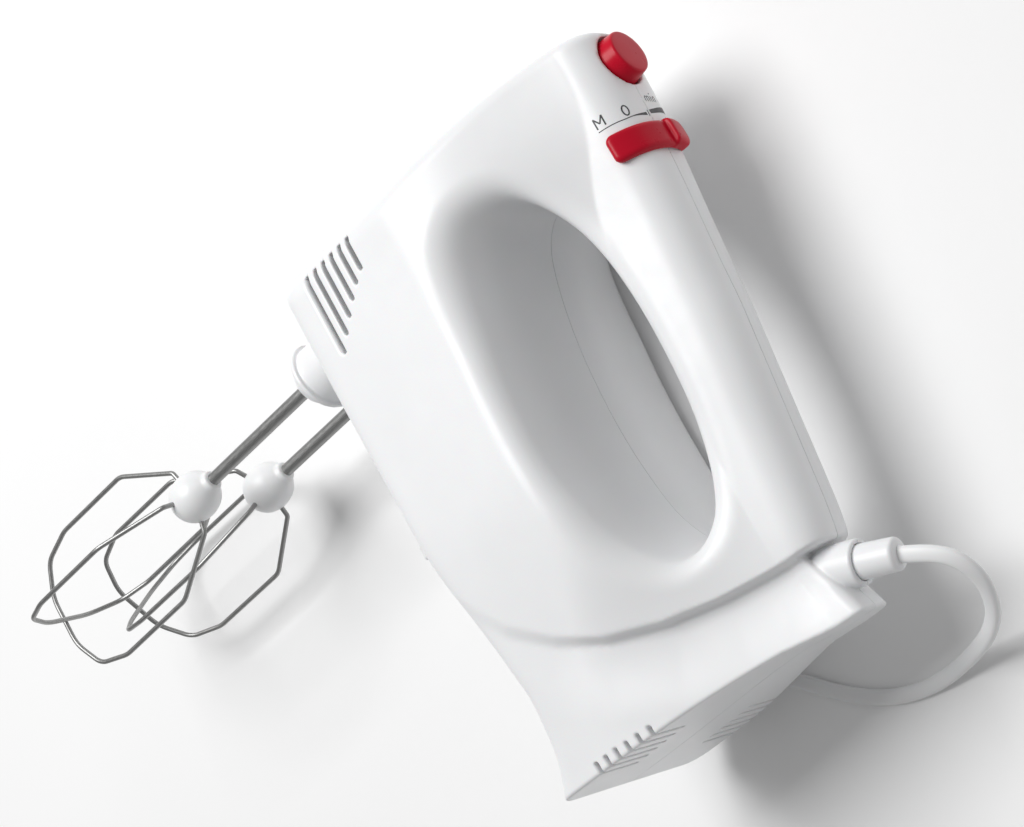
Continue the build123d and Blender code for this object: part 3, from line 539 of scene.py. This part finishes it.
def outer_form(f, l, u):
    """The housing's outside before the openings."""
    a = np.abs(l)
    width = side_width(f, u)
    slope = (side_width(f, u + 0.5) - side_width(f, u - 0.5))
    side = (a - width) / np.sqrt(1 + slope ** 2) + crease_depth(f, u)
    crown = u - look_up(CROWN, f) + 1.1 * (l / 15.0) ** 2
    belly = look_up(UNDER, f) - u
    nose = np.sqrt((f - NOSE_F + NOSE_RADIUS) ** 2 + l ** 2) - NOSE_RADIUS + look_up(NOSE_LEAN, u)
    nose = np.where(f > NOSE_F - NOSE_RADIUS, nose, a - NOSE_RADIUS)
    form = smax(side, crown, 9.0 - 6.0 * step(-150.0, -160.0, f))
    form = smax(form, belly, 6.5)
    form = smax(form, nose, 3.0)
    return smax(form, look_up(HEEL, u) - f, 1.0)


def notch_field(f, l, u):
    """The gap in the crown at the cord's way out, with a floor that rises towards the tail."""
    slot = box_field(f, l, u, (-160.6, -4.8, 88.5), (-148.9, 4.8, 140.0), 0.3)
    floor = smax(f + 148.9, 88.3 - 0.44 * (f + 149.0) - u, 1.0)
    return np.minimum(slot, floor)


def along_and_across(f, l, u):
    """Distances along and square to the cord's tilted way out."""
    f, u = f - EXIT[0], u - EXIT[2]
    along = -math.sin(SLEEVE_TILT) * f + math.cos(SLEEVE_TILT) * u
    return along, np.sqrt(np.maximum(f * f + l * l + u * u - along ** 2, 0.0))


def blister_field(f, l, u):
    """The ball that the sleeve stands in: round below, straight up to a flat rim."""
    along, across = along_and_across(f, l, u)
    body = np.sqrt(across ** 2 + np.minimum(along - BLISTER_START, 0.0) ** 2) - BLISTER_RADIUS
    return smax(body, along - BLISTER_TOP, 0.8)


def sleeve_hole(f, l, u):
    along, across = along_and_across(f, l, u)
    return np.maximum(across - 5.0, 1.0 - along)


def screw_recess(f, l, u, radius, depth):
    """Round places for the screw heads, in from the right side."""
    field = 1e3
    for screw_f, screw_u in SCREW_SPOTS:
        field = np.minimum(field, np.sqrt((f - screw_f) ** 2 + (u - screw_u) ** 2) - radius)
    return np.maximum(field, l - depth)


def slots_field(f, l, u):
    a = np.abs(l)
    field = 1e3
    for height, end in FRONT_SLOTS:
        field = np.minimum(field, box_field(f, a, u, (end, 34, height - 0.8), (-3.2, 50, height + 0.8), 0.7))
    for height in REAR_SLOTS:
        field = np.minimum(field, box_field(f, a, u, (-176, 16, height - 0.6), (-166.3, 45, height + 0.6), 0.5))
    return field


def housing_field(f, l, u):
    outer = outer_form(f, l, u)
    hole = HOLE_MAP(f, u) - hole_flare(f, l, u)
    reach = 9.0 - 2.5 * lower_side(u)
    notch = notch_field(f, l, u)
    shape = smax(outer, -hole, reach)
    wall = smax(outer, WALL - hole, reach) + WALL
    wall = np.maximum(wall, WALL - notch)
    shape = smax(shape, -notch, 0.8)
    shape = smin(shape, blister_field(f, l, u), 0.8)
    shell = smax(shape, -wall, 0.3)
    post = np.maximum(screw_recess(f, l, u, 4.6, SCREW_HEAD_L + 2.4), shape)
    shell = np.minimum(shell, post)
    from_button = np.sqrt((f - BUTTON_F) ** 2 + l ** 2)
    guide = np.maximum(np.maximum(from_button - BUTTON_RADIUS - 2.2, 98.0 - u), shape)
    shell = np.minimum(shell, guide)
    shell = smax(shell, -np.maximum(from_button - BUTTON_RADIUS - 0.25, 97.0 - u), 0.5)
    shell = smax(shell, -slots_field(f, l, u), 0.3)
    shell = smax(shell, -screw_recess(f, l, u, 3.2, SCREW_HEAD_L), 0.3)
    return smax(shell, -sleeve_hole(f, l, u), 0.4)


def spaced(*spans):
    """A list of places with its own step in each span: (start, end, step), ..."""
    places = []
    for start, end, gap in spans:
        count = max(1, int(round((end - start) / gap)))
        places.extend(start + (end - start) * i / count for i in range(count))
    places.append(spans[-1][1])
    return np.array(places)


def make_shells(material):
    half = spaced((0.0, 0.9, 0.3), (0.9, 8.5, 0.5), (8.5, 34.0, 1.1), (34.0, 43.5, 0.8))
    l_axis = np.concatenate([-half[:0:-1], half])
    f_axis = spaced((-172.0, -163.0, 0.45), (-163.0, -146.0, 0.55), (-146.0, -38.0, 1.1),
                    (-38.0, -18.0, 0.6), (-18.0, 14.0, 0.7))
    u_axis = spaced((-6.0, 12.0, 1.0), (12.0, 37.0, 0.32), (37.0, 82.0, 1.1), (82.0, 101.0, 0.5),
                    (101.0, 120.0, 0.7))
    points, quads = field_net(housing_field, (f_axis, l_axis, u_axis))
    whole = bpy.data.meshes.new("whole")
    whole.from_pydata(lay_down(points).tolist(), [], quads.tolist())
    for name, side in (("left_shell", 1), ("right_shell", -1)):
        cut_half(whole, name, side, material)
    bpy.data.meshes.remove(whole)


SEAM_HALF_GAP = 0.09


def cut_half(whole, name, side, material):
    """One side of the closed form, with its rim closed on the seam plane."""
    form = bmesh.new()
    form.from_mesh(whole)
    plane = at(0, side * SEAM_HALF_GAP, 0)
    everything = form.verts[:] + form.edges[:] + form.faces[:]
    bmesh.ops.bisect_plane(form, geom=everything, dist=1e-7, plane_co=plane,
                           plane_no=(0, 0, side), clear_inner=True)
    rim = [edge for edge in form.edges if edge.is_boundary]
    bmesh.ops.triangle_fill(form, use_beauty=True, use_dissolve=False, edges=rim)
    bmesh.ops.recalc_face_normals(form, faces=form.faces[:])
    mesh = bpy.data.meshes.new(name + "_skin")
    form.to_mesh(mesh)
    form.free()
    for face in mesh.polygons:
        face.use_smooth = abs(face.normal.z) < 0.999 or abs(face.center.z - plane.z) > 1e-5
    mesh.materials.append(material)
    piece = bpy.data.objects.new(name + "_skin", mesh)
    bpy.context.scene.collection.objects.link(piece)
    mark_rim(mesh, plane.z)
    finish_piece(piece, "housing", (name,))


def mark_rim(mesh, height):
    """The seam's edge stays sharp, so that its thin shadow line is crisp."""
    for edge in mesh.edges:
        ends = [mesh.vertices[i].co.z for i in edge.vertices]
        edge.use_edge_sharp = all(abs(z - height) < 1e-6 for z in ends)


# ------------------------------------------------------------------ turned and built pieces

def turned(name, profile, centre, body, replaced, material, sides=64):
    """A solid turned round an upright axis from (radius, height) pairs."""
    points, faces = [], []
    for radius, height in profile:
        for i in range(sides):
            turn = 2 * math.pi * i / sides
            points.append((centre[0] + radius * math.cos(turn), centre[1] + radius * math.sin(turn), height))
    for ring in range(len(profile) - 1):
        for i in range(sides):
            j = (i + 1) % sides
            a, b = ring * sides, (ring + 1) * sides
            faces.append((a + i, a + j, b + j, b + i))
    faces.append(tuple(reversed(range(sides))))
    last = (len(profile) - 1) * sides
    faces.append(tuple(range(last, last + sides)))
    return mesh_object(name, points, faces, body, replaced, material)


def rounded_profile(corners, radius, steps=5):
    """(radius, height) corners with the inner ones rounded."""
    points = [Vector(corners[0])]
    for before, here, after in zip(corners, corners[1:], corners[2:]):
        here, before, after = Vector(here), Vector(before), Vector(after)
        reach = min(radius, (here - before).length * 0.48, (after - here).length * 0.48)
        start = here + (before - here).normalized() * reach
        end = here + (after - here).normalized() * reach
        for i in range(steps + 1):
            t = i / steps
            points.append(start * (1 - t) ** 2 + here * 2 * t * (1 - t) + end * t ** 2)
    points.append(Vector(corners[-1]))
    return [tuple(p) for p in points]


WHISK_F, WHISK_L, HUB_U = -18.0, 16.5, -88.0


def make_hubs(material):
    outline = [(0.4, -7.9), (4.6, -7.7), (7.6, -4.4), (8.3, 0.4), (7.2, 4.6), (4.9, 7.4), (3.6, 8.6),
               (3.3, 10.2), (2.12, 10.4)]
    profile = rounded_profile(outline, 2.6)
    for name, side in (("left", 1), ("right", -1)):
        rings = [(r, HUB_U + h) for r, h in profile]
        turned("whisk_hub_skin_" + name, rings, (WHISK_F, side * WHISK_L), "whisk_" + name,
               ("whisk_hub_" + name,), material)


def make_button(material):
    outline = [(0.2, 104.0), (7.95, 104.0), (7.95, 112.0), (7.14, 118.0), (6.98, 119.35), (5.4, 119.5),
               (0.05, 119.6)]
    turned("eject_button_skin", rounded_profile(outline, 0.7), (BUTTON_F, 0.0), "ejector",
           ("eject_button",), material)


def collar_field(f, l, u):
    """An oval boss with a lip and a bowl, open for the spindles."""
    past = np.maximum(np.abs(l) - WHISK_L, 0.0)
    radial = np.sqrt((f - WHISK_F) ** 2 + past ** 2)
    wall = np.maximum(radial - 9.7, np.maximum(u + 0.05, -19.0 - u))
    lip = np.maximum(np.abs(u + 19.2) - 0.75, radial - 11.0)
    bowl = np.sqrt(radial ** 2 + (np.minimum(u + 17.0, 0.0) * 0.98) ** 2) - 9.6
    bowl = np.maximum(bowl, np.maximum(u + 17.0, -26.4 - u))
    shape = smin(smin(wall, lip, 0.6), bowl, 0.5)
    shaft = np.sqrt((f - WHISK_F) ** 2 + (np.abs(l) - WHISK_L) ** 2)
    shape = smax(shape, -(shaft - 2.7), 0.6)
    return np.maximum(shape, -np.maximum(shaft - 5.6, -20.5 - u))


def make_collar(material):
    axes = (spaced((-30.5, -5.5, 0.5)), spaced((-29.0, 29.0, 0.5)), spaced((-28.0, 1.0, 0.4)))
    points, quads = field_net(collar_field, axes)
    mesh_object("beater_collar_skin", points, quads, "housing", ("beater_collar",), material)


SLIDER_F, SLIDER_HALF, SLIDER_LEFT_END, THUMB_START, THUMB_CENTRE = -29.3, 4.4, 60.0, -3.0, -19.0


def slider_plan(f, arc):
    """The slider's outline rolled flat: two rounded corners on the left, a round end on the right."""
    corner = 2.2
    left_end = math.radians(SLIDER_LEFT_END) * SEAT_RADIUS
    centre = math.radians(THUMB_CENTRE) * SEAT_RADIUS
    off = np.abs(f - SLIDER_F)
    a, b = off - SLIDER_HALF + corner, arc - left_end + corner
    square = np.sqrt(np.maximum(a, 0) ** 2 + np.maximum(b, 0) ** 2) + np.minimum(np.maximum(a, b), 0) - corner
    return np.where(arc < centre, np.sqrt(off ** 2 + (arc - centre) ** 2) - SLIDER_HALF, square)


def slider_field(f, l, u):
    """A saddle on the handle's top with a raised thumb pad at its right end."""
    radial = np.sqrt(l ** 2 + (u - SEAT_U) ** 2)
    arc = np.arctan2(l, u - SEAT_U) * SEAT_RADIUS
    plan = slider_plan(f, arc)
    saddle = smax(radial - 19.2, plan, 1.8)
    pad = smax(smax(radial - 20.9, plan, 2.4), arc - math.radians(THUMB_START) * SEAT_RADIUS, 0.7)
    shape = smin(saddle, pad, 0.4)
    return smax(shape, SEAT_RADIUS + 0.3 - radial, 0.4)


def make_slider(material):
    axes = (spaced((-34.6, -24.0, 0.3)), spaced((-13.5, 18.0, 0.35)), spaced((104.0, 119.5, 0.3)))
    points, quads = field_net(slider_field, axes)
    mesh_object("speed_slider_skin", points, quads, "slider", ("speed_slider",), material)


# ------------------------------------------------------------------ the speed scale's marks

LETTER_HEIGHT, STROKE, FINE = 3.2, 0.4, 0.22


def on_top(f, degrees, lift):
    """A point on the handle's top at an angle round the slider's axis, lifted off it."""
    turn = math.radians(degrees)
    low, high = 8.0, 30.0
    for _ in range(30):
        middle = (low + high) / 2
        value = outer_form(np.array([f]), np.array([middle * math.sin(turn)]),
                           np.array([SEAT_U + middle * math.cos(turn)]))[0]
        low, high = (middle, high) if value < 0 else (low, middle)
    radius = low + lift
    return (f, radius * math.sin(turn), SEAT_U + radius * math.cos(turn))


def band(places, widths, points, faces):
    """A flat band through (f, arc) places, laid on the surface, with a little thickness."""
    outline = []
    for index, (f, arc) in enumerate(places):
        before, after = places[max(index - 1, 0)], places[min(index + 1, len(places) - 1)]
        run = Vector((after[0] - before[0], after[1] - before[1])).normalized()
        half = widths[index] / 2
        for side in (-1, 1):
            spot = (f - run.y * half * side, arc + run.x * half * side)
            for lift in (-0.15, 0.05):
                outline.append(on_top(spot[0], math.degrees(spot[1] / SEAT_RADIUS), lift))
    start = len(points)
    points.extend(outline)
    for i in range(start, start + 4 * (len(places) - 1), 4):
        faces.extend([(i + 1, i + 3, i + 7, i + 5), (i, i + 4, i + 6, i + 2), (i, i + 1, i + 5, i + 4),
                      (i + 2, i + 6, i + 7, i + 3)])
    last = start + 4 * (len(places) - 1)
    faces.extend([(start, start + 2, start + 3, start + 1), (last, last + 1, last + 3, last + 2)])


def arch(centre, width, height, turns):
    """Points of part of an oval, by angles in degrees, as (across, up)."""
    return [(centre[0] + width * math.cos(math.radians(t)), centre[1] + height * math.sin(math.radians(t)))
            for t in turns]


def letter_strokes():
    """Plain strokes of the scale's marks, as (angle, foot's F, scale, width, strokes in (across, up))."""
    corners = [(-0.38, 0.0), (-0.38, 1.0), (0.0, 0.35), (0.38, 1.0), (0.38, 0.0)]
    capital_m = [list(pair) for pair in zip(corners, corners[1:])]
    nought = [arch((0.0, 0.5), 0.3, 0.5, range(0, 361, 20))]
    small = [[(-0.15, 0.0), (-0.15, 0.62)], [(-0.15, 0.85), (-0.15, 0.98)]]
    for left in (-1.1, -0.77, 0.15):
        hump = arch((left + 0.165, 0.42), 0.165, 0.2, range(180, -1, -30))
        small.append([(left, 0.0)] + hump + [(left + 0.33, 0.0)])
    return [(55.0, -21.5, 1.0, STROKE, capital_m), (29.5, -21.7, 0.95, STROKE, nought),
            (-15.5, -17.6, 0.9, FINE, small)]


def make_marks(material):
    points, faces = [], []
    for degrees, foot, size, width, strokes in letter_strokes():
        middle = math.radians(degrees) * SEAT_RADIUS
        for stroke in strokes:
            places = [(foot + up * LETTER_HEIGHT * size, middle - across * LETTER_HEIGHT * size)
                      for across, up in stroke]
            band(places, [width] * len(places), points, faces)
    wedge = np.linspace(60.0, 5.0, 23)
    line_f = np.interp(wedge, [5, 21, 34, 60], [-21.8, -22.2, -22.6, -22.3])
    widths = np.interp(wedge, [5, 24, 60], [1.0, 0.25, 0.25])
    band([(f, math.radians(d) * SEAT_RADIUS) for f, d in zip(line_f, wedge)], list(widths), points, faces)
    tick = math.radians(2.2) * SEAT_RADIUS
    band([(-22.5, tick), (-20.6, tick)], [0.3, 0.3], points, faces)
    thick = np.linspace(-1.5, -33.0, 10)
    thick_f = np.interp(thick, [-33, -1.5], [-19.6, -21.1])
    widths = np.interp(thick, [-33, -1.5], [2.1, 1.2])
    band([(f, math.radians(d) * SEAT_RADIUS) for f, d in zip(thick_f, thick)], list(widths), points, faces)
    mesh_object("speed_marks", points, faces, "housing", material=material, smooth=False)


def make_sleeve(material):
    """The sleeve that the cord leaves through: a tapering tube with a rounded mouth."""
    outline = [(0.1, 1.2), (4.85, 1.2), (4.85, 12.0), (4.65, 22.0), (1.0, 22.0)]
    profile = rounded_profile(outline, 1.4)
    piece = turned("strain_relief_skin", profile, (0.0, 0.0), "housing", ("strain_relief",),
                   material)
    base = at(*EXIT)
    axis = (at(*sleeve_point(1.0)) - base).normalized()
    origin = at(0, 0, 0)
    drawn = (at(0, 0, 1) - origin).normalized()
    turn = drawn.rotation_difference(axis).to_matrix().to_4x4()
    piece.data.transform(Matrix.Translation(base) @ turn @ Matrix.Translation(-origin))
    return piece


PLUG_NOSE_F, PLUG_U, PLUG_L = -93.0, -22.5, TABLE_L + 9.4 + 6.8


def plug_field(f, l, u):
    """A flat plug: straight flanks, then drawn in to a ribbed tail."""
    along = f - PLUG_NOSE_F
    half = np.interp(along, [-5, 0, 15, 27, 36, 50], [17.0, 17.0, 16.6, 12.0, 7.4, 6.8])
    thick = np.interp(along, [-5, 0, 18, 36, 50], [6.8, 6.8, 6.4, 5.0, 4.6])
    flat = smax(np.abs(u - PLUG_U) - half, np.abs(l - PLUG_L) - thick, 4.0)
    flat = smax(flat, np.maximum(-along, along - 36.0), 1.6)
    radial = np.sqrt((u - PLUG_U) ** 2 + (l - PLUG_L) ** 2)
    ribs = 0.35 * np.cos(along * 2 * math.pi / 3.0)
    tail = smax(radial - 3.6 - ribs * (along > 36.5), np.maximum(34.0 - along, along - 45.5), 0.6)
    return smin(flat, tail, 1.5)


def make_plug(material):
    axes = (spaced((-95.0, -46.0, 0.5)), spaced((PLUG_L - 8.4, PLUG_L + 8.4, 0.5)),
            spaced((PLUG_U - 18.6, PLUG_U + 18.6, 0.6)))
    points, quads = field_net(plug_field, axes)
    return mesh_object("plug_body_skin", points, quads, "housing", ("plug_body",), material)


def make_tie(material):
    """A flat strap wrapped once round the coil's turns."""
    middle = COIL_CENTRE[1] - 23.5
    centre = (COIL_CENTRE[0] - 8.0, TABLE_L + 5.1, middle + 1.5)

    def tie_field(f, l, u):
        outer = box_field(f, l, u, (centre[0] - 3, TABLE_L + 0.1, centre[2] - 6.4),
                          (centre[0] + 3, TABLE_L + 10.3, centre[2] + 6.4), 1.2)
        inner = box_field(f, l, u, (centre[0] - 9, TABLE_L - 3, centre[2] - 5.5),
                          (centre[0] + 9, TABLE_L + 9.5, centre[2] + 5.5), 0.8)
        return np.maximum(outer, -inner)

    axes = (spaced((centre[0] - 4, centre[0] + 4, 0.4)), spaced((TABLE_L - 0.5, TABLE_L + 11, 0.4)),
            spaced((centre[2] - 7.2, centre[2] + 7.2, 0.4)))
    points, quads = field_net(tie_field, axes)
    return mesh_object("cord_tie_skin", points, quads, "housing", ("cord_tie",), material)


# ------------------------------------------------------------------ stage

def make_floor():
    mesh = bpy.data.meshes.new("floor")
    mesh.from_pydata([(-4, -4, 0), (4, -4, 0), (4, 4, 0), (-4, 4, 0)], [], [(0, 1, 2, 3)])
    floor = bpy.data.objects.new("floor", mesh)
    bpy.context.scene.collection.objects.link(floor)
    material, tree, shader = new_material("pale_floor")
    tree.links.new(ramp(tree, noise(tree, 3.0), (0.90, 0.90, 0.90, 1), (0.93, 0.93, 0.93, 1)).outputs["Color"],
                   shader.inputs["Base Color"])
    shader.inputs["Roughness"].default_value = 0.9
    mesh.materials.append(material)


def soft_light(name, place, size, power, target=(0, 0, 0.03)):
    data = bpy.data.lights.new(name, "AREA")
    data.size = size
    data.energy = power
    light = bpy.data.objects.new(name, data)
    light.location = place
    light.rotation_euler = (Vector(target) - Vector(place)).to_track_quat("-Z", "Y").to_euler()
    bpy.context.scene.collection.objects.link(light)


def make_light():
    world = bpy.data.worlds.new("studio")
    bpy.context.scene.world = world
    world.use_nodes = True
    world.node_tree.nodes["Background"].inputs["Color"].default_value = (1, 1, 1, 1)
    world.node_tree.nodes["Background"].inputs["Strength"].default_value = 0.30
    soft_light("overhead", (0.05, -0.7, 1.35), 0.9, 20.5)
    bpy.context.scene.view_settings.view_transform = "Standard"


# ------------------------------------------------------------------ everything

make_camera()
cord = make_cord()
materials = make_materials()
make_floor()
make_light()

slots = {row["node"]: row["material_slot"] for row in frame["record"]["subparts"]}
for node, piece in frame["nodes"].items():
    piece.data.materials.clear()
    piece.data.materials.append(materials[slots[node]])

make_shells(materials["housing_white"])
make_hubs(materials["hub_white"])
make_button(materials["control_red"])
make_collar(materials["housing_white"])
make_slider(materials["control_red"])
make_sleeve(materials["housing_white"])
plug = make_plug(materials["cord_white"])
tie = make_tie(materials["cord_white"])
make_marks(materials["print_dark"])

cord.data.materials.append(materials["cord_white"])
finish_piece(cord, "housing", ("cord_lead", "cord_coil", "cord_tail"))
